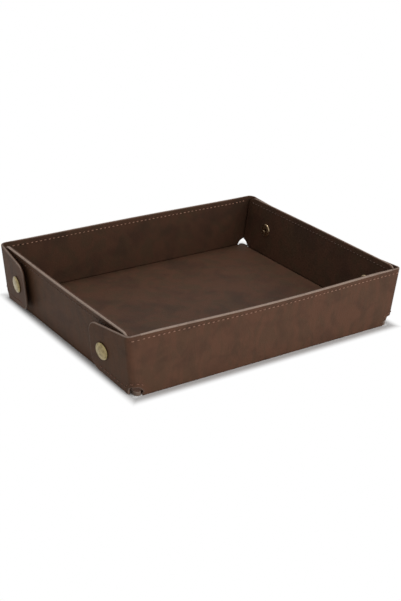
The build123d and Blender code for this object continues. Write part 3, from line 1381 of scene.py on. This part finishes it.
@dataclass
class Base:
    """The flat base, whose rounded corners reach out a little between the creases."""

    measures: TrayMeasures
    corner_reach: float = 1.9 * MM
    corner_radius: float = 4.0 * MM
    corner_steps: int = 6
    shoulder: float = 1.1 * MM
    strip_gap: float = 0.8 * MM
    groove: float = 0.7 * MM
    corner_edge: float = 0.5 * MM
    cell: float = 24.0 * MM

    @property
    def long_run(self) -> float:
        """Distance from a corner of the creases to the crease strip of a long wall."""
        m = self.measures
        return m.crease_x - m.hinge_x + m.notch_foot - self.strip_gap

    @property
    def end_run(self) -> float:
        """Distance from a corner of the creases to the crease strip of an end wall."""
        return self.measures.notch_foot - self.strip_gap

    def on_corner(self, place: Vector) -> bool:
        """Say whether a place on the flat panel is past the ends of both crease strips."""
        m = self.measures
        return abs(place.x) > m.crease_x - self.long_run and abs(place.y) > m.crease_y - self.end_run

    def outline(self) -> list[Point]:
        """Draw the cut of the panel, anticlockwise.

        Returns:
            Its points.
        """
        m = self.measures
        inset = self.corner_reach - self.corner_radius
        middle = (m.crease_x + inset, m.crease_y + inset)
        corner = [
            (m.crease_x, m.crease_y - self.end_run),
            (m.crease_x + self.corner_reach, m.crease_y - self.end_run + self.shoulder),
            *arc(middle, self.corner_radius, 0.0, pi / 2, self.corner_steps),
            (m.crease_x - self.long_run + self.shoulder, m.crease_y + self.corner_reach),
            (m.crease_x - self.long_run, m.crease_y),
        ]
        points: list[Point] = []
        for side_x, side_y in ((-1, -1), (1, -1), (1, 1), (-1, 1)):
            mirrored = [(side_x * x, side_y * y) for x, y in corner]
            points += mirrored if side_x == side_y else mirrored[::-1]
        return points

    def build(self) -> Piece:
        """Cut the base, edge it and lay it on the floor, with paint on its corners only.

        Returns:
            The base panel.
        """
        m = self.measures
        piece = Bench.cut_out("base_panel", self.outline(), m.wall)
        Bench.round_rim(piece, 0.0, self.corner_edge, lambda middle, step: self.on_corner(middle))
        Bench.round_rim(piece, -m.wall, self.groove, lambda middle, step: True)
        # The corner edges take the darker copy of the edge paint, which is painted shade.
        Bench.face_with(piece, HIDE, SHADED_TAB_PAINT, LINING)
        Bench.line_edges(piece, lambda middle: not self.on_corner(middle))
        Bench.score(piece, (1, 0, 0), spaced(-m.crease_x, m.crease_x, self.cell))
        Bench.score(piece, (0, 1, 0), spaced(-m.crease_y, m.crease_y, self.cell))
        Bench.lay(piece, FloorLay())
        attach(piece, "base")
        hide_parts("base_skin", "base_board", "base_lining")
        return piece


@dataclass
class Wall(Generic[WallSide]):
    """What the long walls and the end walls share: cutting, edging, laying and rows of stitches."""

    measures: TrayMeasures
    sewing: Stitching
    flat_name: str = "wall_flat"
    thread: Finish = THREAD
    outer_edge: float = 0.7 * MM
    inner_edge: float = 0.6 * MM
    painted: float = 1.8 * MM
    foot_band: float = 0.6 * MM
    row_drop: float = 3.9 * MM
    cell: float = 9.0 * MM

    @property
    def height(self) -> float:
        """Length of the panel from its crease to its top edge."""
        raise NotImplementedError

    @property
    def scored_half(self) -> float:
        """Half the width over which the panel is scored."""
        raise NotImplementedError

    def outline(self) -> list[Point]:
        """Draw the cut of the panel, anticlockwise from its foot."""
        raise NotImplementedError

    def lay_for(self, side: WallSide) -> WallLay:
        """Say how the panel of one side is laid."""
        raise NotImplementedError

    def row_reaches(self, height: float) -> tuple[float, float]:
        """Give half the length of the outer and of the inner row at a height above the crease."""
        raise NotImplementedError

    def is_free(self, step: Vector) -> bool:
        """Say whether an edge that runs in this direction may be rounded."""
        return True

    def pierce(self, piece: Piece) -> None:
        """Make the holes in the panel, where it has any."""

    def cut(self) -> Piece:
        """Cut and edge the flat panel once, for both walls, with paint above the foot only.

        Returns:
            The flat panel.
        """
        wall = self.measures.wall
        piece = Bench.cut_out(self.flat_name, self.outline(), wall)
        Bench.round_rim(
            piece, 0.0, self.outer_edge, lambda middle, step: middle.y > TOUCH and self.is_free(step)
        )
        Bench.round_rim(piece, -wall, self.inner_edge, lambda middle, step: self.is_free(step))
        Bench.score(piece, (0, 0, 1), [-self.painted])
        Bench.face_with(piece, HIDE, PAINT, LINING, self.painted)
        Bench.line_edges(piece, lambda middle: middle.y < self.foot_band)
        self.pierce(piece)
        Bench.score(piece, (1, 0, 0), spaced(-self.scored_half, self.scored_half, self.cell))
        Bench.score(piece, (0, 1, 0), spaced(0.0, self.height, self.cell))
        return piece

    def build(self, flat: Piece, side: WallSide) -> list[Piece]:
        """Lay one wall and sew its rows.

        Args:
            flat: The flat panel.
            side: The side.

        Returns:
            The panel and its rows of stitches.
        """
        lay = self.lay_for(side)
        layers = [named(side, "wall", layer) for layer in ("skin", "board", "lining")]
        made = [Bench.fit_leather(flat, named(side, "wall_panel"), lay, layers)]
        height = self.height - self.row_drop
        faces = (("outer", 0.0, Slot.OUTER), ("inner", -self.measures.wall, Slot.LINING))
        for (face, level, slot), reach in zip(faces, self.row_reaches(height)):
            path = ((-reach, height), (reach, height))
            name = named(side, "wall", face, "stitches")
            made.append(self.sewing.row(name, self.thread, path, level, lay, slot))
        for piece in made:
            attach(piece, named(side, "wall"))
        return made


@dataclass
class LongWall(Wall[Long]):
    """The front and back walls, which end at the corner pieces."""

    flat_name: str = "long_wall_flat"
    front_bow: float = 3.4 * MM
    back_bow: float = 1.3 * MM
    thin_run: float = 10.0 * MM
    inner_inset: float = 4.0 * MM
    seam_share: float = 0.9999

    @property
    def height(self) -> float:
        """Height of the panel above its crease."""
        return self.measures.top - self.measures.crease_z

    @property
    def scored_half(self) -> float:
        """Half the width of the panel's foot."""
        return self.half(0.0)

    def half(self, height: float) -> float:
        """Half the panel's width, to the seam with a corner piece, at a height above the crease."""
        m = self.measures
        return m.hinge_x + (height + m.crease_z) * tan(m.flare) - m.seam / cos(m.flare)

    def outline(self) -> list[Point]:
        """Draw the cut of the panel, anticlockwise from its foot."""
        low, high = self.half(0.0), self.half(self.height)
        return [(low, 0.0), (high, self.height), (-high, self.height), (-low, 0.0)]

    def is_free(self, step: Vector) -> bool:
        """Say whether an edge that runs in this direction is off the seams with the corner pieces."""
        flare = self.measures.flare
        return abs(step.x) * sin(flare) + abs(step.y) * cos(flare) < self.seam_share

    def row_reaches(self, height: float) -> tuple[float, float]:
        """Give half the length of the outer and of the inner row at a height above the crease."""
        m = self.measures
        return self.half(height), m.crease_x + height * tan(m.flare) - self.inner_inset

    def lay_for(self, side: Long) -> WallLay:
        """Say how the panel of one side is laid.

        Args:
            side: The side.

        Returns:
            The lay, bowed outwards and thinned to the corner pieces.
        """
        m = self.measures
        return WallLay(
            crease=Vector((0.0, side.value * m.outer_y, m.crease_z)),
            across=Vector((-side.value, 0.0, 0.0)),
            up=UP,
            out=Vector((0.0, side.value, 0.0)),
            height=self.height,
            bow_half=m.crease_x,
            bow=self.front_bow if side is Long.FRONT else self.back_bow,
            thin_from=self.half(0.0) - self.thin_run,
            thin_over=self.thin_run,
            thin_to=m.tab / m.wall,
            lean=tan(m.flare),
        )


@dataclass
class EndWall(Wall[End]):
    """The flared end walls, with the eyelets of the snaps in them."""

    flat_name: str = "end_wall_flat"
    # The end walls' rows use the darker copy of the thread, which is painted shade.
    thread: Finish = SHADED_THREAD
    row_drop: float = 4.4 * MM
    top_corner: float = 8.0 * MM
    bow: float = 0.8 * MM
    bore: float = 1.75 * MM
    bore_facets: int = 20
    notch_steps: int = 12
    corner_steps: int = 10

    @property
    def height(self) -> float:
        """Length of the panel up its slope."""
        return self.measures.slope

    @property
    def scored_half(self) -> float:
        """Half the width of the panel."""
        return self.measures.end_half

    def outline(self) -> list[Point]:
        """Draw the cut of the panel, anticlockwise from the notch at its right foot.

        Returns:
            Its points.
        """
        m = self.measures
        highest = acos((m.end_half - m.crease_y) / m.notch)
        right = arc((m.crease_y, -m.crease_z), m.notch, m.notch_start, highest, self.notch_steps)
        corner = (m.end_half, m.slope)
        right += fillet(right[-1], corner, (0.0, m.slope), self.top_corner, self.corner_steps)
        return right + [(-x, y) for x, y in reversed(right)]

    def pierce(self, piece: Piece) -> None:
        """Drill the holes of the two snaps.

        Args:
            piece: The flat panel.
        """
        m = self.measures
        spots = [(side * m.snap_y, m.snap_rise) for side in (-1, 1)]
        Bench.drill(piece, spots, self.bore, 2 * m.wall, self.bore_facets)

    def row_reaches(self, height: float) -> tuple[float, float]:
        """Give half the length of the outer and of the inner row, which are alike."""
        reach = self.measures.end_half - self.row_drop
        return reach, reach

    def lay_for(self, side: End) -> WallLay:
        """Say how the panel of one side is laid.

        Args:
            side: The side.

        Returns:
            The lay, flared and slightly bowed.
        """
        m = self.measures
        outward = m.outward(side)
        return WallLay(
            crease=Vector((side.value * m.crease_x, 0.0, m.crease_z)) + outward * m.wall,
            across=Vector((0.0, side.value, 0.0)),
            up=m.uphill(side),
            out=outward,
            height=m.slope,
            bow_half=m.end_half,
            bow=self.bow,
        )


@dataclass
class Creases:
    """The leather that runs round under each wall from the base."""

    measures: TrayMeasures
    thickness: float = 0.9 * MM
    radius: float = 1.0 * MM
    spread: float = 0.6 * MM
    steps: int = 6

    def build(self, side: Long | End) -> Piece:
        """Cut the strip of one wall and roll it.

        Args:
            side: The wall.

        Returns:
            The rolled strip.
        """
        m = self.measures
        if isinstance(side, Long):
            out = Vector((0.0, side.value, 0.0))
            reach, half, sweep = m.crease_y, m.hinge_x - m.notch_foot, pi / 2
        else:
            out = Vector((side.value, 0.0, 0.0))
            reach, half, sweep = m.crease_x, m.crease_y - m.notch_foot, pi / 2 - m.flare
        crease = out * reach + UP * m.crease_z
        lay = CreaseLay(crease, UP.cross(out), out, m.crease_z, self.radius, sweep)
        half += self.spread
        outline = [(half, 0.0), (half, lay.width), (-half, lay.width), (-half, 0.0)]
        piece = Bench.cut_out(named(side, "crease_roll"), outline, self.thickness)
        Bench.face_with(piece, HIDE, PAINT, LINING)
        turn = [lay.flat_run + lay.turn_run * step / self.steps for step in range(self.steps + 1)]
        Bench.score(piece, (0, 1, 0), turn)
        Bench.lay(piece, lay)
        start, end = (lay.place(Vector((0.0, place, 0.0))) for place in (0.0, lay.width))
        named(side, "wall")
        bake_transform(piece)
        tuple(start)
        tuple(end)
        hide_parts(named(side, "crease"))
        return piece


@dataclass
class CornerTabs:
    """The corner pieces: the end of a long wall, the bend round the corner and the tab that snaps on."""

    measures: TrayMeasures
    sewing: Stitching
    top_drop: float = 4.0 * MM
    top_radius: float = 10.0 * MM
    top_steps: int = 9
    floor_gap: float = 0.3 * MM
    foot_rise: float = 7.6 * MM
    foot_radius: float = 10.0 * MM
    foot_steps: int = 6
    notch_width: float = 4.0 * MM
    notch_steps: int = 26
    bend_steps: int = 12
    outer_edge: float = 0.5 * MM
    inner_edge: float = 0.4 * MM
    painted: float = 1.2 * MM
    cell: float = 8.0 * MM
    notch_inset: float = 3.0 * MM
    foot_inset: float = 5.0 * MM
    row_angles: tuple[float, float] = (140.0, 36.0)
    row_steps: int = 30
    row_drop: float = 3.9 * MM
    row_gap: float = 0.3 * MM
    blend_reach: float = 2.6 * MM

    def unroll(self, points: Sequence[Point]) -> list[Point]:
        """Unroll points on to the sheet.

        Args:
            points: Distance from the hinge line, below zero on the wall and above on the tab, and height.

        Returns:
            The points on the sheet.
        """
        m = self.measures
        flat = []
        for ahead, height in points:
            turned = min(max((ahead + m.bend_run) / (2 * m.bend_run), 0.0), 1.0) * m.bend_length
            straight = min(ahead + m.bend_run, 0.0) + max(ahead - m.bend_run, 0.0)
            flat.append((turned + straight, height))
        return flat

    def foot_line(self, ahead: float) -> float:
        """Height of the tab's lower edge, up the slope."""
        m = self.measures
        return self.floor_gap / cos(m.flare) + self.foot_rise * ahead / m.tab_reach

    def wall_point(self, ahead: float, height: float) -> Point:
        """The point at a distance from the hinge line on the wall, at a height over the floor."""
        m = self.measures
        return (ahead, (height + ahead * sin(m.flare)) / cos(m.flare))

    def notch_line(self, inset: float, start: float, stop: float, steps: int) -> list[Point]:
        """Give a line round the notch, a circle on the wall that is drawn in on the tab.

        Args:
            inset: How far the line keeps from the notch.
            start: The angle of its first point, above the tab's side of the floor line.
            stop: The angle of its last point.
            steps: The number of runs between them.

        Returns:
            The points, before unrolling.
        """
        radius = self.measures.notch + inset
        narrow = (self.notch_width + inset) / radius
        circle = arc((0.0, 0.0), radius, start, stop, steps)
        return [(x * narrow if x > 0 else x, y) for x, y in circle]

    def outline(self) -> list[Point]:
        """Draw the cut of the corner piece, from the crease round the notch and the tab.

        Returns:
            Its points, before unrolling.
        """
        m = self.measures
        reach = m.tab_reach
        top = (m.top - m.bend_run * sin(m.flare)) / cos(m.flare)
        low = (reach, self.foot_line(reach))
        high = (reach, top - self.top_drop)
        last = asin(self.foot_line(self.notch_width) / m.notch)
        notch = self.notch_line(0.0, m.notch_start + m.flare, last, self.notch_steps)
        return [
            *notch,
            *fillet(notch[-1], low, high, self.foot_radius, self.foot_steps),
            *fillet(low, high, (m.bend_run, top), self.top_radius, self.top_steps),
            (m.bend_run, top),
            (-m.bend_run, top),
            self.wall_point(-m.seam, m.top),
            self.wall_point(-m.seam, m.crease_z),
        ]

    def cut(self) -> Piece:
        """Cut and edge the flat corner piece once, for all four corners.

        Returns:
            The flat corner piece.
        """
        m = self.measures
        outline = self.unroll(self.outline())
        piece = Bench.cut_out("corner_flat", outline, m.tab)
        crease_end = outline[0][0]
        seam = outline[-1][0]

        def free_edge(middle: Vector, _: Vector) -> bool:
            """Say whether an edge is neither on the seam with the wall nor on the crease."""
            on_crease = middle.x < crease_end and middle.y < 2 * m.crease_z
            return middle.x > seam + TOUCH and not on_crease

        Bench.round_rim(piece, 0.0, self.outer_edge, free_edge)
        Bench.round_rim(piece, -m.tab, self.inner_edge, free_edge)
        Bench.score(piece, (0, 0, 1), [-self.painted])
        # The tab's edges take the darker copy of the edge paint, which is painted shade.
        Bench.face_with(piece, HIDE, SHADED_TAB_PAINT, LINING, self.painted)
        bend = [m.bend_length * step / self.bend_steps for step in range(self.bend_steps + 1)]
        reach = max(x for x, _ in outline)
        top = max(y for _, y in outline)
        Bench.score(piece, (1, 0, 0), bend + spaced(m.bend_length, reach, self.cell))
        Bench.score(piece, (0, 1, 0), spaced(0.0, top, self.cell))
        return piece

    def foot_row(self) -> list[Point]:
        """Give the line of the row over the notch and along the tab's lower edge.

        Returns:
            The points on the sheet.
        """
        reach = self.measures.tab_reach - 2 * self.foot_inset
        first, last = (radians(angle) for angle in self.row_angles)
        over = self.notch_line(self.notch_inset, first, last, self.row_steps)
        return self.unroll([*over, (reach, self.foot_line(reach) + self.foot_inset)])

    def top_row(self) -> list[Point]:
        """Give the line that carries the wall's outer row on to the bend."""
        height = self.measures.top - self.row_drop
        return self.unroll([self.wall_point(-ahead, height) for ahead in (self.measures.seam, self.row_gap)])

    def build(self, flat: Piece, long: Long, end: End) -> list[Piece]:
        """Wrap one corner and sew its rows.

        Args:
            flat: The flat corner piece.
            long: The long wall that it belongs to.
            end: The end wall that it snaps on.

        Returns:
            The corner piece and its rows of stitches.
        """
        lay = CornerLay(self.measures, long, end)
        nodes = [named(long, end, part) for part in ("tab_skin", "tab_core", "tab_lining", "bend")]
        made = [Bench.fit_leather(flat, named(long, end, "tab_leather"), lay, nodes)]
        rows = {"tab_stitches": (RED_THREAD, self.foot_row()), "corner_stitches": (THREAD, self.top_row())}
        for part, (thread, path) in rows.items():
            made.append(self.sewing.row(named(long, end, part), thread, path, 0.0, lay, Slot.OUTER))
        hinge = self.measures.foot(long, end)
        reach = (self.measures.outward(end) + lay.along).normalized() * self.blend_reach
        for piece in made:
            hinge - reach
            hinge + reach
            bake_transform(piece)
        return made


@dataclass
class Snaps:
    """The visible metal of the snaps: the caps on the tabs and the eyelets inside the end walls.

    The tables of shares give the points of a profile as shares of its radius and height.
    """

    measures: TrayMeasures
    cap_radius: float = 7.0 * MM
    cap_height: float = 2.0 * MM
    cap_dome_shares: tuple[Point, ...] = (
        (0.0, 1.0), (0.2, 0.992), (0.4, 0.965), (0.56, 0.925), (0.68, 0.87), (0.745, 0.815), (0.775, 0.775),
    )
    cap_rim_shares: tuple[Point, ...] = (
        (0.8, 0.772), (0.825, 0.8), (0.86, 0.81), (0.9, 0.775), (0.945, 0.69), (0.98, 0.55), (1.0, 0.38),
        (1.0, 0.2), (0.985, 0.07), (0.955, 0.0), (0.0, 0.0),
    )
    eyelet_radius: float = 5.75 * MM
    eyelet_height: float = 0.8 * MM
    eyelet_shares: tuple[Point, ...] = (
        (0.23, 0.8), (0.27, 0.95), (0.4, 1.0), (0.58, 0.98), (0.75, 0.9), (0.9, 0.66), (0.98, 0.32),
        (1.0, 0.0),
    )
    curl_share: float = 0.5
    foot_share: float = 0.97
    foot_sink: float = 0.1 * MM
    barrel: float = 1.65 * MM
    bore: float = 1.2 * MM
    steps: int = 48
    smooth_angle: float = 50.0

    def cap(self) -> Piece:
        """Turn the cap: a shallow dome inside a rolled rim.

        Returns:
            The cap, seated on height zero.
        """
        shares = self.cap_dome_shares + self.cap_rim_shares
        profile = [(radius * self.cap_radius, height * self.cap_height) for radius, height in shares]
        piece = Bench.turn("snap_cap_master", profile, self.steps)
        piece.data.materials.append(BRASS.material())
        return piece

    def eyelet(self) -> Piece:
        """Turn the eyelet: a flange that curls over from a short barrel.

        Returns:
            The eyelet, its flange on height zero and its barrel below.
        """
        wide, high = self.eyelet_radius, self.eyelet_height
        depth = -self.measures.wall
        profile = [
            (self.bore, depth),
            (self.bore, high * self.curl_share),
            *((wide * radius, high * height) for radius, height in self.eyelet_shares),
            (wide * self.foot_share, -self.foot_sink),
            (self.barrel, -self.foot_sink),
            (self.barrel, depth),
            (self.bore, depth),
        ]
        piece = Bench.turn("snap_eyelet_master", profile, self.steps)
        piece.data.materials.append(DARK_BRASS.material())
        return piece

    def build(self, long: Long, end: End, masters: Sequence[Piece]) -> list[Piece]:
        """Set the cap and the eyelet of one corner.

        Args:
            long: The long wall that the tab belongs to.
            end: The end wall that it snaps on.
            masters: The cap and the eyelet to copy.

        Returns:
            The cap and the eyelet.
        """
        m = self.measures
        out = m.outward(end)
        inside = m.snap_seat(long, end) - out * m.wall
        places = {
            "cap": (m.cap_seat(long, end), m.off_tab(long, end), named(long, end, "tab")),
            "eyelet": (inside, -out, named(end, "wall")),
        }
        made = []
        for master, (part, (place, facing, body)) in zip(masters, places.items()):
            piece = Bench.copy(master, named(long, end, "snap", part, "turned"))
            turn = UP.rotation_difference(facing).to_matrix().to_4x4()
            Bench.set_at(piece, Matrix.Translation(place) @ turn)
            Bench.smooth(piece, self.smooth_angle)
            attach(piece, body)
            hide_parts(named(long, end, "snap", part))
            made.append(piece)
        return made


@dataclass(frozen=True)
class Lamp:
    """A soft square lamp."""

    name: str
    place: tuple[float, float, float]
    size: float
    watts: float
    tint: tuple[float, float, float] = (1.0, 1.0, 1.0)

    def hang(self, target: Vector) -> None:
        """Hang the lamp so that it faces a target.

        Args:
            target: The target.
        """
        turn = (target - Vector(self.place)).to_track_quat("-Z", "Y").to_euler()
        bpy.ops.object.light_add(type="AREA", location=self.place, rotation=turn)
        lamp = bpy.context.object
        lamp.name = self.name
        lamp.data.size = self.size
        lamp.data.energy = self.watts
        lamp.data.color = self.tint


@dataclass
class Studio:
    """The pale floor, the soft lights and the camera, which was fitted to the corners of the tray."""

    focal_pixels: float = 1129.89
    frame_height: int = 601
    sensor: float = 36.0
    azimuth: float = -35.763
    elevation: float = 24.345
    roll: float = 2.709
    distance: float = 943.21 * MM
    slide: tuple[float, float] = (-1.95 * MM, 14.653 * MM)
    target: tuple[float, float, float] = (0.0, 0.0, 25.0 * MM)
    floor_size: float = 6.0
    sky: float = 0.41
    lamps: tuple[Lamp, ...] = (
        Lamp("top_softbox", place=(0.1, 0.18, 1.25), size=0.45, watts=7.0),
        Lamp("front_softbox", place=(0.3, -1.3, 0.42), size=0.8, watts=10.4, tint=(1.0, 0.98, 0.96)),
    )

    def camera(self) -> None:
        """Set up the camera at the angle of the photograph."""
        turn, tilt, roll = (radians(angle) for angle in (self.azimuth, self.elevation, self.roll))
        level = Vector((cos(turn), sin(turn), 0.0))
        back = Vector((sin(turn) * cos(tilt), -cos(turn) * cos(tilt), sin(tilt)))
        upright = back.cross(level)
        right = level * cos(roll) + upright * sin(roll)
        up = upright * cos(roll) - level * sin(roll)
        place = Vector(self.target) - right * self.slide[0] - up * self.slide[1] + back * self.distance
        bpy.ops.object.camera_add()
        camera = bpy.context.object
        camera.name = "photo_camera"
        camera.matrix_world = Matrix.Translation(place) @ Matrix((right, up, back)).transposed().to_4x4()
        camera.data.sensor_width = self.sensor
        camera.data.lens = self.focal_pixels * self.sensor / self.frame_height
        bpy.context.scene.camera = camera

    def lights(self) -> None:
        """Hang the lamps and light the room."""
        for lamp in self.lamps:
            lamp.hang(Vector(self.target))
        world = bpy.data.worlds.new("soft_room")
        world.use_nodes = True
        bpy.context.scene.world = world
        graph = Graph(world.node_tree)
        colour = graph.mix(graph.background(), (self.sky, self.sky, self.sky, 1.0), WHITE)
        light = graph.add("ShaderNodeBackground", {}, {"Color": colour, "Strength": 1.0})
        graph.add("ShaderNodeOutputWorld", {}, {"Surface": light}, None)

    def floor(self) -> None:
        """Lay the floor."""
        bpy.ops.object.select_all(action="DESELECT")
        bpy.ops.mesh.primitive_plane_add(size=self.floor_size)
        piece = Bench.rename(bpy.context.object, "studio_floor")
        piece.data.materials.append(FLOOR.material())

    def build(self) -> None:
        """Set up the whole studio."""
        self.camera()
        self.lights()
        self.floor()
        bpy.context.scene.view_settings.view_transform = "Standard"


def dress_frame_metal(nodes: dict[str, Piece]) -> int:
    """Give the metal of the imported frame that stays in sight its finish.

    Args:
        nodes: The nodes of the frame.

    Returns:
        The number of nodes that were dressed.
    """
    finishes = {"socket": BRASS, "stud": BRASS, "spring": STEEL}
    dressed = 0
    for name, node in nodes.items():
        finish = finishes.get(name.rsplit("_", 1)[1])
        if finish is not None:
            node.data.materials.clear()
            node.data.materials.append(finish.material())
            dressed += 1
    return dressed


def report(pieces: Sequence[Piece]) -> None:
    """Log the pieces that were made."""
    for piece in pieces:
        LOG.info("%s: %d faces", piece.name, len(piece.data.polygons))


def main() -> None:
    """Build the tray and its studio, in order."""
    logging.basicConfig(level=logging.INFO, format="%(name)s: %(message)s")
    measures = TrayMeasures.read(frame)
    sewing = Stitching()
    Studio().build()
    report([Base(measures).build()])
    creases = Creases(measures)
    report([creases.build(side) for side in (*Long, *End)])
    long_wall = LongWall(measures, sewing)
    end_wall = EndWall(measures, sewing)
    tabs = CornerTabs(measures, sewing)
    flats = (long_wall.cut(), end_wall.cut(), tabs.cut())
    snaps = Snaps(measures)
    masters = (snaps.cap(), snaps.eyelet())
    for long in Long:
        report(long_wall.build(flats[0], long))
    for end in End:
        report(end_wall.build(flats[1], end))
    for long in Long:
        for end in End:
            report(tabs.build(flats[2], long, end))
            report(snaps.build(long, end, masters))
    Bench.put_away(*flats, *masters)
    sewing.put_away()
    LOG.info("frame metal: %d nodes dressed", dress_frame_metal(frame["nodes"]))


if __name__ == "__main__":
    main()
